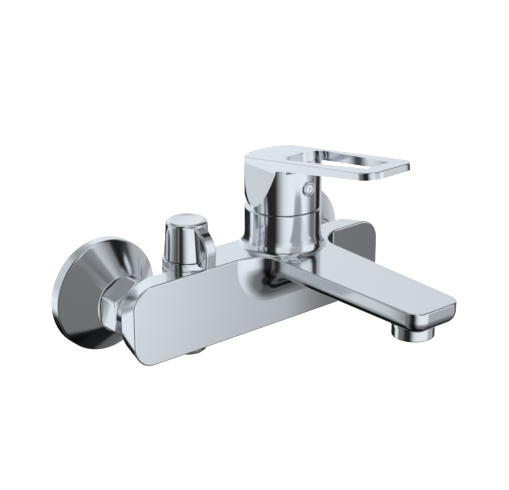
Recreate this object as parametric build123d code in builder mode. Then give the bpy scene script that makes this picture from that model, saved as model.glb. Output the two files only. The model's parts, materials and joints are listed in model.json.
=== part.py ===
from math import radians, tan
import os

from build123d import *

os.makedirs("parts", exist_ok=True)

# ---------------------------------------------------------------- sizes (mm)
# Frame: +X to the right along the body, +Y towards the wall, +Z up.
# Origin: on the wall face, midway between the two inlet axes.
inlet_spacing = 150.0
body_length = 188.0
body_height = 49.0
body_front_y = -62.0
end_rear_y = -47.5
mid_rear_y = -34.5
face_corner_r = 13.0
rear_corner_r = 23.0
rear_edge_r = 2.0
front_edge_r = 0.9
half_height = body_height / 2

# cartridge axis and housing
axis_x = 20.5
axis_y = -56.0
housing_r = 23.0
housing_flare_r = 26.6
housing_top_z = 48.8
chamber_floor_z = 20.5
chamber_r = 17.6
thread_bore_r = 18.9
thread_floor_z = 38.0

# spout
spout_tip_y = -187.0
spout_root_half = 21.0
spout_tip_half = 17.8
spout_thick = 13.2
spout_corner_r = 9.0
spout_under_r = 7.5
spout_blend_r = 19.0
aerator_y = -167.0
aerator_r = 12.2
aerator_boss_bottom_z = 9.5
aerator_bottom_z = 2.7

# handle
handle_bottom_z = 49.5
handle_top_z = 80.9
handle_tilt = 8.7
handle_half_width = 18.1
handle_reach = 92.0
plate_root_thick = 7.2
plate_tip_thick = 4.2
skirt_inner_r = 19.8
pivot_z = 36.0
handle_tip_r = 10.0
handle_edge_r = 0.8
bevel_angle = 23.0
bevel_start = 2.5
index_z = 64.3

# diverter
diverter_x = -44.0
diverter_y = -46.0
collar_r = 14.7
collar_top_z = 29.0
knob_bottom_z = 29.3
knob_top_z = 51.6
knob_bottom_r = 13.6
knob_top_r = 12.0
knob_edge_r = 2.3
knob_dish_r = 60.0
knob_dish_depth = 0.7
fin_reach = 23.0
fin_arc_r = 14.0
fin_width = 7.2
fin_edge_r = 1.0
outlet_bottom_z = -30.5
half_inch_r = 10.48
three_quarter_r = 13.1

# wall fittings
eccentric_drop = 6.0
escutcheon_r = 34.5
escutcheon_rim = 7.6
escutcheon_depth = 24.0
nut_rear_y = -24.6
nut_front_y = -39.5
nut_across_flats = 32.0

# cartridge ports, measured from the cartridge axis
port_points = [(-7.5, 8.8), (7.5, 8.8), (0.0, -2.5)]
port_r = 2.8
inlet_xs = [-inlet_spacing / 2, inlet_spacing / 2]
side_names = ["left", "right"]


def save(node, name):
    """Label one finished sub-part and write its file."""
    node.part.label = name
    export_step(node.part, f"parts/{name}.step")


def on_axis(z):
    """Plane square to the cartridge axis at height z."""
    return Plane((axis_x, axis_y, z))


def on_diverter(z):
    """Plane square to the diverter axis at height z."""
    return Plane((diverter_x, diverter_y, z))


def facing_room(x, y, z=0.0):
    """Plane whose normal points from the wall into the room."""
    return Plane((x, y, z), x_dir=(1, 0, 0), z_dir=(0, -1, 0))


def facing_wall(x, y, z=0.0):
    """Plane whose normal points into the wall."""
    return Plane((x, y, z), x_dir=(1, 0, 0), z_dir=(0, 1, 0))


def facing_left(x, y, z=0.0):
    """Plane whose normal points to the left, with its own x towards the room."""
    return Plane((x, y, z), x_dir=(0, -1, 0), z_dir=(-1, 0, 0))


def outer_circle(part, axis, last):
    """The longest circular edge at one end of a turned part, the far end if last is true."""
    circles = part.edges().filter_by(GeomType.CIRCLE).group_by(axis)[-1 if last else 0]
    return circles.sort_by(SortBy.LENGTH)[-1]


# ---------------------------------------------------------------- mixer body
with BuildPart() as mixer_body:
    # plan of the bar, deeper in the middle than at its two ends
    with BuildSketch(Plane.XY.offset(-half_height)):
        with BuildLine():
            front = Line((-body_length / 2, body_front_y), (body_length / 2, body_front_y))
            right_end = Line(front @ 1, (body_length / 2, end_rear_y))
            right_flat = Line(right_end @ 1, (56, end_rear_y))
            right_step = Spline(right_flat @ 1, (40, mid_rear_y), tangents=[(-1, 0), (-1, 0)])
            back = Line(right_step @ 1, (-40, mid_rear_y))
            left_step = Spline(back @ 1, (-56, end_rear_y), tangents=[(-1, 0), (-1, 0)])
            left_flat = Line(left_step @ 1, (-body_length / 2, end_rear_y))
            Line(left_flat @ 1, front @ 0)
        make_face()
    extrude(amount=body_height)
    # rear bosses behind the cartridge housing and the diverter
    with BuildSketch(Plane.XY.offset(-half_height)):
        with Locations((axis_x, axis_y)):
            Circle(housing_flare_r)
        with Locations((diverter_x, diverter_y)):
            Circle(collar_r + 0.2)
        with Locations((0, body_front_y - 20)):
            Rectangle(120, 60, mode=Mode.SUBTRACT)
    extrude(amount=body_height)
    # rounded rectangular outline, rounder towards the rear
    with BuildPart(mode=Mode.INTERSECT):
        with BuildSketch(facing_wall(0, body_front_y)):
            RectangleRounded(body_length, body_height, face_corner_r)
        with BuildSketch(facing_wall(0, end_rear_y)):
            RectangleRounded(body_length, body_height, rear_corner_r)
        loft()
        with BuildSketch(facing_wall(0, end_rear_y)):
            RectangleRounded(body_length, body_height, rear_corner_r)
        extrude(amount=40)
    # every rear edge but the upright ones of the two steps
    rear_edges = mixer_body.edges().filter_by(
        lambda e: e.center().Y > end_rear_y - 0.6
        and not (abs(e.tangent_at(0.5).Z) > 0.99 and abs(e.center().X) < 60)
    )
    fillet(rear_edges, radius=rear_edge_r)

    # spout
    spout_points = [
        (axis_x - spout_root_half, body_front_y + 10),
        (axis_x - spout_root_half, body_front_y - 20),
        (axis_x - spout_tip_half, spout_tip_y),
        (axis_x + spout_tip_half, spout_tip_y),
        (axis_x + spout_root_half, body_front_y - 20),
        (axis_x + spout_root_half, body_front_y + 10),
    ]
    with BuildSketch(Plane.XY.offset(half_height - spout_thick)):
        with BuildLine():
            Polyline(*spout_points, close=True)
        make_face()
    extrude(amount=spout_thick)
    tip_edges = mixer_body.edges().filter_by(Axis.Z).group_by(Axis.Y)[0]
    fillet(tip_edges, radius=spout_corner_r)
    underside = mixer_body.faces().filter_by(Plane.XY).sort_by(Axis.Y)[0:2].sort_by(Axis.Z)[0]
    lower_edges = underside.edges().filter_by(lambda e: e.center().Y < body_front_y - 1)
    fillet(lower_edges, radius=spout_under_r)
    root_edges = mixer_body.edges().filter_by(
        lambda e: abs(e.center().Y - body_front_y) < 0.01
        and abs(e.center().X - axis_x) < spout_root_half + 0.5
        and e.center().Z < half_height - 0.5
        and e.center().Z > 5
    )
    fillet(root_edges, radius=spout_blend_r)

    # cartridge housing with its flared base
    with BuildSketch(Plane((axis_x, axis_y, 0), x_dir=(1, 0, 0), z_dir=(0, -1, 0))):
        with BuildLine():
            Line((0, half_height - 4), (housing_flare_r, half_height - 4))
            Line((housing_flare_r, half_height - 4), (housing_flare_r, half_height))
            Bezier(
                (housing_flare_r, half_height),
                (housing_r + 0.2, half_height + 0.8),
                (housing_r, half_height + 8),
            )
            Line((housing_r, half_height + 8), (housing_r, housing_top_z))
            Line((housing_r, housing_top_z), (0, housing_top_z))
            Line((0, housing_top_z), (0, half_height - 4))
        make_face()
    revolve(axis=Axis((axis_x, axis_y, 0), (0, 0, 1)))
    rim = mixer_body.edges().filter_by(GeomType.CIRCLE).group_by(Axis.Z)[-1]
    fillet(rim, radius=0.8)

    # boss under the spout tip for the aerator
    with BuildSketch(Plane((axis_x, aerator_y, aerator_boss_bottom_z))):
        Circle(aerator_r + 0.6)
    extrude(amount=half_height - aerator_boss_bottom_z - 4)

    # rounded front edges of the bar and upper edges of the spout
    front_rim = mixer_body.edges().filter_by(
        lambda e: abs(e.center().Y - body_front_y) < 0.01
        and (abs(e.center().X) > 80 or abs(abs(e.center().Z) - half_height) < 0.01)
    )
    spout_rim = mixer_body.edges().filter_by(
        lambda e: abs(e.center().Z - half_height) < 0.01
        and e.center().Y < body_front_y - 1
        and not (e.geom_type == GeomType.CIRCLE and e.radius > 20)
    )
    fillet(front_rim + spout_rim, radius=front_edge_r)

    # chamber for the cartridge and thread for its ring nut
    with BuildSketch(on_axis(chamber_floor_z)):
        Circle(chamber_r)
    extrude(amount=40, mode=Mode.SUBTRACT)
    with BuildSketch(on_axis(thread_floor_z)):
        Circle(thread_bore_r)
    extrude(amount=20, mode=Mode.SUBTRACT)
    # hot, cold and mixed water ports in the chamber floor
    with BuildSketch(on_axis(chamber_floor_z)):
        with Locations(port_points[0:2]):
            Circle(port_r)
    extrude(amount=-(chamber_floor_z + 5), mode=Mode.SUBTRACT)
    # hot and cold galleries from the two inlets
    for x_from, x_to in [(-75, 16), (25, 75)]:
        with BuildSketch(Plane.XY.offset(-10)):
            with Locations(((x_from + x_to) / 2, -57.4)):
                Rectangle(x_to - x_from, 3.2)
        extrude(amount=12, mode=Mode.SUBTRACT)
    for x in [axis_x - 7.5, axis_x + 7.5]:
        with BuildSketch(Plane.XY.offset(-10)):
            with Locations((x, -51.5)):
                Rectangle(6, 14)
        extrude(amount=12, mode=Mode.SUBTRACT)
    # spout gallery, passing round the pillar of the mixed water port
    with BuildSketch(Plane.XY.offset(13.9)):
        with Locations((axis_x, -114)):
            Rectangle(24, 116)
        with Locations((axis_x - 15.5, -50)):
            Rectangle(7.5, 22)
        with Locations((axis_x - 13, -58)):
            Rectangle(6, 6)
        with Locations((axis_x, axis_y - 2.5)):
            Circle(4.8, mode=Mode.SUBTRACT)
    extrude(amount=4, mode=Mode.SUBTRACT)
    with BuildSketch(on_axis(chamber_floor_z)):
        with Locations(port_points[2]):
            Circle(port_r)
    extrude(amount=-14, mode=Mode.SUBTRACT)
    # mixed water gallery to the diverter and return gallery to the spout
    with BuildSketch(Plane((diverter_x, -54.5, 7.5), x_dir=(0, 1, 0), z_dir=(1, 0, 0))):
        Circle(3.0)
    extrude(amount=axis_x - diverter_x, mode=Mode.SUBTRACT)
    with BuildSketch(Plane((diverter_x, -42.5, 15.9), x_dir=(0, 1, 0), z_dir=(1, 0, 0))):
        Circle(2.9)
    extrude(amount=axis_x - 14 - diverter_x, mode=Mode.SUBTRACT)
    # diverter bore right through, wider at the top, and shower outlet thread
    with BuildSketch(on_diverter(-half_height)):
        Circle(half_inch_r - 2.0)
    extrude(amount=body_height, mode=Mode.SUBTRACT)
    with BuildSketch(on_diverter(5.2)):
        Circle(9.2)
    extrude(amount=body_height, mode=Mode.SUBTRACT)
    # bores for the inlet tails
    for x in inlet_xs:
        with BuildSketch(facing_room(x, end_rear_y + 1)):
            Circle(9.0)
        extrude(amount=9.5, mode=Mode.SUBTRACT)
    # bore under the spout tip
    with BuildSketch(Plane((axis_x, aerator_y, aerator_boss_bottom_z))):
        Circle(10.2)
    extrude(amount=5, mode=Mode.SUBTRACT)
save(mixer_body, "mixer_body")

# ---------------------------------------------------------------- wall fittings
for x, side in zip(inlet_xs, side_names):
    # eccentric union between the wall thread and the faucet
    with BuildPart() as s_union:
        with BuildSketch(Plane((x, 16, -eccentric_drop), x_dir=(1, 0, 0), z_dir=(0, -1, 0))):
            Circle(half_inch_r)
        extrude(amount=16)
        with BuildSketch(facing_room(x, 0, -eccentric_drop)):
            Circle(half_inch_r)
        with BuildSketch(facing_room(x, -9, 0)):
            Circle(three_quarter_r - 0.5)
        loft()
        with BuildSketch(facing_room(x, -9, 0)):
            Circle(three_quarter_r - 0.5)
        extrude(amount=3)
        with BuildSketch(facing_room(x, -12, 0)):
            Circle(three_quarter_r)
        extrude(amount=18.5)
        with BuildSketch(Plane((x, 16, -eccentric_drop), x_dir=(1, 0, 0), z_dir=(0, -1, 0))):
            Circle(7.6)
        extrude(amount=16, mode=Mode.SUBTRACT)
        with BuildSketch(facing_room(x, 0, -eccentric_drop)):
            Circle(7.6)
        with BuildSketch(facing_room(x, -9, 0)):
            Circle(9.4)
        loft(mode=Mode.SUBTRACT)
        with BuildSketch(facing_room(x, -9, 0)):
            Circle(9.4)
        extrude(amount=21.5, mode=Mode.SUBTRACT)
        chamfer(outer_circle(s_union, Axis.Y, False), length=0.8)
        chamfer(outer_circle(s_union, Axis.Y, True), length=0.8)
    save(s_union, f"s_union_{side}")

    # conical wall flange, a thin pressed shell
    with BuildPart() as escutcheon:
        with BuildSketch(Plane((x, 0, 0), x_dir=(1, 0, 0), z_dir=(0, 0, 1))):
            with BuildLine():
                Polyline(
                    (13.4, -escutcheon_depth),
                    (17.6, -escutcheon_depth),
                    (escutcheon_r - 0.6, -escutcheon_rim - 0.3),
                    (escutcheon_r, -escutcheon_rim + 0.5),
                    (escutcheon_r, 0),
                    (escutcheon_r - 1.2, 0),
                    (escutcheon_r - 1.2, -escutcheon_rim + 0.9),
                    (17.0, -escutcheon_depth + 1.4),
                    (13.4, -escutcheon_depth + 1.4),
                    close=True,
                )
            make_face()
        revolve(axis=Axis((x, 0, 0), (0, 1, 0)))
    save(escutcheon, f"escutcheon_{side}")

    # hexagonal union nut, threaded at the rear and lipped at the front
    with BuildPart() as union_nut:
        with BuildSketch(facing_room(x, nut_rear_y)):
            RegularPolygon(nut_across_flats / 2, 6, major_radius=False, rotation=30)
        extrude(amount=nut_rear_y - nut_front_y)
        with BuildSketch(Plane((x, 0, 0), x_dir=(1, 0, 0), z_dir=(0, 0, 1))):
            with BuildLine():
                Polyline(
                    (0, nut_rear_y),
                    (16.6, nut_rear_y),
                    (18.6, nut_rear_y - 1.4),
                    (18.6, nut_front_y + 1.8),
                    (15.6, nut_front_y),
                    (0, nut_front_y),
                    close=True,
                )
            make_face()
        revolve(axis=Axis((x, 0, 0), (0, 1, 0)), mode=Mode.INTERSECT)
        with BuildSketch(facing_room(x, nut_rear_y)):
            Circle(three_quarter_r)
        extrude(amount=11.5, mode=Mode.SUBTRACT)
        with BuildSketch(facing_room(x, nut_rear_y)):
            Circle(10.6)
        extrude(amount=20, mode=Mode.SUBTRACT)
    save(union_nut, f"union_nut_{side}")

    # sealing washer squeezed between the union and the inlet tail
    with BuildPart() as inlet_washer:
        with BuildSketch(facing_room(x, -30.5)):
            Circle(12.6)
            Circle(8.2, mode=Mode.SUBTRACT)
        extrude(amount=2.2)
    save(inlet_washer, f"inlet_washer_{side}")

    # inlet tail, a flanged bush screwed into the body
    with BuildPart() as inlet_tail:
        with BuildSketch(facing_room(x, -32.7)):
            Circle(12.6)
        extrude(amount=3.4)
        with BuildSketch(facing_room(x, -36.1)):
            Circle(10.4)
        extrude(amount=-36.1 - end_rear_y)
        with BuildSketch(facing_room(x, end_rear_y)):
            Circle(9.0)
        extrude(amount=7.8)
        with BuildSketch(facing_room(x, -32.7)):
            Circle(7.4)
        extrude(amount=30, mode=Mode.SUBTRACT)
    save(inlet_tail, f"inlet_tail_{side}")

# ---------------------------------------------------------------- cartridge
with BuildPart() as cartridge_base:
    with BuildSketch(on_axis(chamber_floor_z)):
        Circle(chamber_r - 0.1)
    extrude(amount=3.4)
    with BuildSketch(on_axis(chamber_floor_z + 2.0)):
        Circle(14.6)
    extrude(amount=3, mode=Mode.SUBTRACT)
    with BuildSketch(on_axis(chamber_floor_z)):
        with Locations(port_points):
            Circle(port_r)
    extrude(amount=6, mode=Mode.SUBTRACT)
    with BuildSketch(on_axis(chamber_floor_z)):
        with Locations(port_points):
            Circle(4.4)
    extrude(amount=1.1, mode=Mode.SUBTRACT)
save(cartridge_base, "cartridge_base")

with BuildPart() as port_seals:
    with BuildSketch(on_axis(chamber_floor_z)):
        with Locations(port_points):
            Circle(4.4)
        with Locations(port_points):
            Circle(port_r, mode=Mode.SUBTRACT)
    extrude(amount=1.1)
save(port_seals, "cartridge_port_seals")

fixed_disc_z = chamber_floor_z + 2.0
with BuildPart() as fixed_disc:
    with BuildSketch(on_axis(fixed_disc_z)):
        Circle(14.6)
        with Locations(port_points):
            Circle(port_r, mode=Mode.SUBTRACT)
    extrude(amount=3.0)
save(fixed_disc, "ceramic_disc_fixed")

moving_disc_z = fixed_disc_z + 3.0
with BuildPart() as moving_disc:
    with BuildSketch(on_axis(moving_disc_z)):
        Circle(12.4)
    extrude(amount=2.4)
    with BuildSketch(on_axis(moving_disc_z)):
        with Locations((0, -2.5)):
            SlotOverall(11, 6)
    extrude(amount=1.4, mode=Mode.SUBTRACT)
save(moving_disc, "ceramic_disc_moving")

carrier_z = moving_disc_z + 2.4
with BuildPart() as disc_carrier:
    with BuildSketch(on_axis(carrier_z)):
        Circle(12.4)
    extrude(amount=3.0)
    with BuildSketch(on_axis(carrier_z + 0.6)):
        Rectangle(8.2, 6.3)
    extrude(amount=3, mode=Mode.SUBTRACT)
save(disc_carrier, "disc_carrier")

rotor_z = carrier_z + 3.1
shell_top_z = 41.0
with BuildPart() as rotor:
    with BuildSketch(on_axis(rotor_z)):
        Circle(15.2)
    extrude(amount=7.0)
    with BuildSketch(on_axis(rotor_z + 7.0)):
        Circle(13.0)
    extrude(amount=4.0)
    with BuildSketch(on_axis(rotor_z)):
        Rectangle(8.2, 17.0)
    extrude(amount=20, mode=Mode.SUBTRACT)
    with BuildSketch(Plane((axis_x - 20, axis_y, pivot_z), x_dir=(0, 1, 0), z_dir=(1, 0, 0))):
        Circle(1.5)
    extrude(amount=40, mode=Mode.SUBTRACT)
save(rotor, "cartridge_rotor")

with BuildPart() as pivot_pin:
    with BuildSketch(Plane((axis_x - 14.6, axis_y, pivot_z), x_dir=(0, 1, 0), z_dir=(1, 0, 0))):
        Circle(1.5)
    extrude(amount=29.2)
save(pivot_pin, "lever_pivot_pin")

with BuildPart() as shell:
    with BuildSketch(on_axis(chamber_floor_z + 3.4)):
        Circle(chamber_r - 0.1)
    extrude(amount=shell_top_z - chamber_floor_z - 3.4)
    with BuildSketch(on_axis(chamber_floor_z + 3.4)):
        Circle(15.27)
    extrude(amount=rotor_z + 7.1 - chamber_floor_z - 3.4, mode=Mode.SUBTRACT)
    with BuildSketch(on_axis(chamber_floor_z + 3.4)):
        Circle(13.07)
    extrude(amount=30, mode=Mode.SUBTRACT)
    chamfer(outer_circle(shell, Axis.Z, True), length=1.5)
save(shell, "cartridge_shell")

with BuildPart() as stem:
    with BuildSketch(on_axis(pivot_z - 2.8)):
        Rectangle(8.0, 8.0)
    extrude(amount=72.0 - pivot_z + 2.8)
    with BuildSketch(on_axis(pivot_z - 6.9)):
        Rectangle(8.0, 5.0)
    extrude(amount=4.2)
    with BuildSketch(Plane((axis_x - 10, axis_y, pivot_z), x_dir=(0, 1, 0), z_dir=(1, 0, 0))):
        Circle(1.55)
    extrude(amount=20, mode=Mode.SUBTRACT)
save(stem, "lever_stem")

with BuildPart() as ring_nut:
    with BuildSketch(on_axis(shell_top_z)):
        Circle(thread_bore_r)
        Circle(13.6, mode=Mode.SUBTRACT)
    extrude(amount=4.0)
    with BuildSketch(on_axis(shell_top_z + 1.5)):
        with PolarLocations(15.8, 6):
            Circle(1.2)
    extrude(amount=4, mode=Mode.SUBTRACT)
save(ring_nut, "ring_nut")

dome_z = shell_top_z + 4.0
with BuildPart() as dome_cap:
    with BuildSketch(Plane((axis_x, axis_y, 0), x_dir=(1, 0, 0), z_dir=(0, -1, 0))):
        with BuildLine():
            Polyline(
                (18.7, dome_z),
                (18.7, dome_z + 4.4),
                (17.6, dome_z + 6.4),
                (13.2, dome_z + 9.0),
                (13.2, dome_z + 7.8),
                (16.6, dome_z + 5.6),
                (17.5, dome_z + 4.0),
                (17.5, dome_z),
                close=True,
            )
        make_face()
    revolve(axis=Axis((axis_x, axis_y, 0), (0, 0, 1)))
save(dome_cap, "dome_cap")

# ---------------------------------------------------------------- lever handle
top_plane = on_axis(handle_top_z).rotated((-handle_tilt, 0, 0))
rise = tan(radians(handle_tilt))
bevel_slope = tan(radians(bevel_angle))
with BuildPart() as handle:
    # round skirt with flats that fade out towards the bottom
    with BuildSketch(on_axis(handle_bottom_z)):
        Circle(housing_r)
    extrude(amount=45)
    with BuildSketch(Plane((axis_x, axis_y - 25, 0), x_dir=(1, 0, 0), z_dir=(0, -1, 0))):
        with BuildLine():
            Polyline(
                (-handle_half_width, handle_top_z + 20),
                (-handle_half_width, handle_top_z - 6),
                (-housing_r - 0.4, handle_bottom_z + 1),
                (-housing_r - 0.4, handle_bottom_z - 1),
                (housing_r + 0.4, handle_bottom_z - 1),
                (housing_r + 0.4, handle_bottom_z + 1),
                (handle_half_width, handle_top_z - 6),
                (handle_half_width, handle_top_z + 20),
                close=True,
            )
        make_face()
    extrude(amount=-50, mode=Mode.INTERSECT)
    # flat arm
    with BuildSketch(facing_left(axis_x + handle_half_width, axis_y, handle_top_z)):
        with BuildLine():
            Polyline(
                (0, 0),
                (handle_reach, rise * handle_reach),
                (handle_reach + 0.6, rise * handle_reach - plate_tip_thick),
                (20, rise * 20 - plate_root_thick + 1.2),
                (0, -plate_root_thick - 1),
                close=True,
            )
        make_face()
    extrude(amount=2 * handle_half_width)
    with BuildSketch(top_plane):
        with Locations((0, -30)):
            Rectangle(200, 250)
    extrude(amount=40, mode=Mode.SUBTRACT)
    tip_corners = handle.edges().filter_by(
        lambda e: e.center().Y < axis_y - handle_reach + 4
        and abs(abs(e.center().X - axis_x) - handle_half_width) < 0.2
        and abs(e.tangent_at(0.5).Z) > 0.7
    )
    fillet(tip_corners, radius=handle_tip_r)
    top_face = handle.faces().filter_by(
        lambda f: f.normal_at().Z > 0.9 and f.center().Z > handle_top_z - 3
    )
    fillet(top_face.sort_by(SortBy.AREA)[-1].outer_wire().edges(), radius=handle_edge_r)
    # loop opening through the arm
    with BuildSketch(top_plane) as loop_outline:
        with BuildLine():
            Polyline((-14.6, -12), (14.6, -12), (8.6, -80.5), (-8.6, -80.5), close=True)
        make_face()
        rear = loop_outline.vertices().group_by(Axis.Y)[-1]
        front_corners = loop_outline.vertices().group_by(Axis.Y)[0]
        fillet(rear, radius=9)
        fillet(front_corners, radius=4)
    extrude(amount=-9.0, taper=-4, mode=Mode.SUBTRACT)
    # bevel that clears the housing when the handle is lifted
    with BuildSketch(Plane((axis_x - 40, axis_y, handle_bottom_z), x_dir=(0, 1, 0), z_dir=(1, 0, 0))):
        with BuildLine():
            Polyline(
                (-bevel_start, 0),
                (-bevel_start + 40, 40 * bevel_slope),
                (-bevel_start + 40, -5),
                (-bevel_start, -5),
                close=True,
            )
        make_face()
    extrude(amount=80, mode=Mode.SUBTRACT)
    # hollow of the skirt round the hub
    with BuildSketch(on_axis(handle_bottom_z - 1)):
        Circle(skirt_inner_r)
    extrude(amount=18, mode=Mode.SUBTRACT)
    with BuildSketch(on_axis(58.0)):
        Circle(9.0)
    extrude(amount=10)
    # square socket for the stem, bore for its set screw and seat of the plug
    with BuildSketch(on_axis(57.0)):
        Rectangle(8.0, 8.0)
    extrude(amount=15.0, mode=Mode.SUBTRACT)
    with BuildSketch(facing_room(axis_x, axis_y - 4, index_z)):
        Circle(2.5)
    extrude(amount=25, mode=Mode.SUBTRACT)
    with BuildSketch(facing_room(axis_x, axis_y - 10, index_z)):
        Circle(4.6)
    extrude(amount=25, mode=Mode.SUBTRACT)
save(handle, "lever_handle")

with BuildPart() as set_screw:
    with BuildSketch(facing_room(axis_x, axis_y - 4, index_z)):
        Circle(2.5)
    extrude(amount=4.8)
    with BuildSketch(facing_room(axis_x, axis_y - 7, index_z)):
        RegularPolygon(1.45, 6)
    extrude(amount=3, mode=Mode.SUBTRACT)
save(set_screw, "handle_set_screw")

with BuildPart() as index_plug:
    with BuildSketch(facing_room(axis_x, axis_y - 19.9, index_z)):
        Circle(4.6)
    extrude(amount=4.3)
    with BuildSketch(facing_room(axis_x, axis_y - 22.6, index_z)):
        Circle(3.1)
    extrude(amount=3, mode=Mode.SUBTRACT)
    fillet(outer_circle(index_plug, Axis.Y, False), radius=0.6)
save(index_plug, "index_plug")

with BuildPart() as index_button:
    with BuildSketch(facing_room(axis_x, axis_y - 22.6, index_z)):
        Circle(3.1)
    extrude(amount=1.7)
    fillet(outer_circle(index_button, Axis.Y, False), radius=1.2)
    with BuildSketch(facing_room(axis_x, axis_y - 23.9, index_z)):
        Circle(0.7)
    extrude(amount=2, mode=Mode.SUBTRACT)
save(index_button, "index_button")

# ---------------------------------------------------------------- diverter
with BuildPart() as collar:
    with BuildSketch(on_diverter(half_height)):
        Circle(collar_r)
        Circle(9.2, mode=Mode.SUBTRACT)
    extrude(amount=collar_top_z - half_height)
    fillet(outer_circle(collar, Axis.Z, True), radius=0.6)
save(collar, "diverter_collar")

with BuildPart() as headpart:
    with BuildSketch(on_diverter(8.0)):
        Circle(9.1)
    extrude(amount=26.0)
    with BuildSketch(on_diverter(8.0)):
        Circle(7.2)
    extrude(amount=17.0, mode=Mode.SUBTRACT)
    with BuildSketch(on_diverter(8.0)):
        Circle(4.55)
    extrude(amount=40.0, mode=Mode.SUBTRACT)
    # side windows where the two galleries enter
    with BuildSketch(Plane((diverter_x, -54.5, 13.0), x_dir=(1, 0, 0), z_dir=(0, 0, 1))):
        Rectangle(8, 6)
    extrude(amount=-6, mode=Mode.SUBTRACT)
    with BuildSketch(Plane((diverter_x + 8.5, -42.5, 18.8), x_dir=(1, 0, 0), z_dir=(0, 0, 1))):
        Rectangle(6, 5.8)
    extrude(amount=-5.8, mode=Mode.SUBTRACT)
    # groove for the o ring
    with BuildSketch(on_diverter(21.0)):
        Circle(9.6)
        Circle(7.9, mode=Mode.SUBTRACT)
    extrude(amount=2.0, mode=Mode.SUBTRACT)
save(headpart, "diverter_headpart")

with BuildPart() as headpart_ring:
    with BuildSketch(on_diverter(21.0)):
        Circle(9.2)
        Circle(7.9, mode=Mode.SUBTRACT)
    extrude(amount=2.0)
save(headpart_ring, "diverter_o_ring")

with BuildPart() as seat_disc:
    with BuildSketch(on_diverter(5.2)):
        Circle(9.1)
        with Locations((0, 4.2), (0, -4.2)):
            Circle(2.4, mode=Mode.SUBTRACT)
    extrude(amount=2.8)
save(seat_disc, "diverter_seat_disc")

with BuildPart() as spindle:
    with BuildSketch(on_diverter(8.05)):
        Circle(7.1)
    extrude(amount=2.6)
    with BuildSketch(on_diverter(8.05)):
        with Locations((0, 4.6)):
            Circle(2.2, mode=Mode.ADD)
    extrude(amount=2.6, mode=Mode.SUBTRACT)
    with BuildSketch(on_diverter(10.65)):
        Circle(4.5)
    extrude(amount=33.35)
save(spindle, "diverter_spindle")

with BuildPart() as knob:
    with BuildSketch(on_diverter(knob_bottom_z)):
        Circle(knob_bottom_r)
    with BuildSketch(on_diverter(knob_top_z)):
        Circle(knob_top_r)
    loft()
    knob_rim = knob.edges().filter_by(GeomType.CIRCLE).group_by(Axis.Z)[-1]
    fillet(knob_rim, radius=knob_edge_r)
    # shallow dish in the top
    with Locations((diverter_x, diverter_y, knob_top_z + knob_dish_r - knob_dish_depth)):
        Sphere(knob_dish_r, mode=Mode.SUBTRACT)
    # finger fin on the front, rounded over at the top
    fin_bottom_z = knob_bottom_z - 1.6
    fin_centre = (fin_reach - fin_arc_r, knob_top_z - 1.7 - fin_arc_r)
    with BuildSketch(facing_left(diverter_x + fin_width / 2, diverter_y)):
        with BuildLine():
            lower = Line((6, fin_bottom_z), (fin_reach - 0.7, fin_bottom_z))
            front = Line(lower @ 1, (fin_reach, fin_centre[1]))
            CenterArc(fin_centre, fin_arc_r, 0, 90)
            upper = Line((fin_centre[0], fin_centre[1] + fin_arc_r), (6, fin_centre[1] + fin_arc_r))
            Line(upper @ 1, lower @ 0)
        make_face()
    extrude(amount=fin_width)
    fin_front = knob.edges().filter_by(
        lambda e: e.center().Y < diverter_y - knob_bottom_r - 1
        and abs(abs(e.center().X - diverter_x) - fin_width / 2) < 0.1
        and e.center().Z > fin_bottom_z + 0.5
    )
    fillet(fin_front, radius=fin_edge_r)
    # room for the collar below and socket for the spindle
    with BuildSketch(on_diverter(knob_bottom_z - 3)):
        Circle(collar_r + 0.5)
    extrude(amount=3, mode=Mode.SUBTRACT)
    with BuildSketch(on_diverter(knob_bottom_z)):
        Circle(9.6)
    extrude(amount=5.5, mode=Mode.SUBTRACT)
    with BuildSketch(on_diverter(knob_bottom_z)):
        Circle(4.5)
    extrude(amount=14.7, mode=Mode.SUBTRACT)
save(knob, "diverter_knob")

# ---------------------------------------------------------------- shower outlet
with BuildPart() as nipple:
    with BuildSketch(on_diverter(outlet_bottom_z)):
        Circle(half_inch_r)
    extrude(amount=-half_height - outlet_bottom_z)
    with BuildSketch(on_diverter(-half_height)):
        Circle(half_inch_r - 2.0)
    extrude(amount=9)
    with BuildSketch(on_diverter(outlet_bottom_z)):
        Circle(6.2)
    extrude(amount=30, mode=Mode.SUBTRACT)
    chamfer(outer_circle(nipple, Axis.Z, False), length=0.8)
save(nipple, "shower_outlet_nipple")

# ---------------------------------------------------------------- aerator
with BuildPart() as aerator_ring:
    with BuildSketch(Plane((axis_x, aerator_y, aerator_bottom_z))):
        Circle(aerator_r)
        Circle(10.0, mode=Mode.SUBTRACT)
    extrude(amount=aerator_boss_bottom_z - aerator_bottom_z)
    with BuildSketch(Plane((axis_x, aerator_y, aerator_boss_bottom_z))):
        Circle(10.2)
        Circle(9.0, mode=Mode.SUBTRACT)
    extrude(amount=3.5)
    fillet(outer_circle(aerator_ring, Axis.Z, False), radius=0.7)
save(aerator_ring, "aerator_housing")

with BuildPart() as aerator_insert:
    with BuildSketch(Plane((axis_x, aerator_y, aerator_bottom_z + 0.8))):
        Circle(10.0)
    extrude(amount=aerator_boss_bottom_z - aerator_bottom_z - 0.8)
    with BuildSketch(Plane((axis_x, aerator_y, aerator_bottom_z + 0.8))):
        with PolarLocations(7.0, 12):
            Circle(1.0)
        with PolarLocations(3.6, 6):
            Circle(1.0)
    extrude(amount=10, mode=Mode.SUBTRACT)
save(aerator_insert, "aerator_insert")

with BuildPart() as aerator_washer:
    with BuildSketch(Plane((axis_x, aerator_y, aerator_boss_bottom_z + 3.5))):
        Circle(10.2)
        Circle(7.6, mode=Mode.SUBTRACT)
    extrude(amount=1.4)
save(aerator_washer, "aerator_washer")
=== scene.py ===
"""Wall mounted bath faucet: the finished look of every piece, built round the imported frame."""

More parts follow.
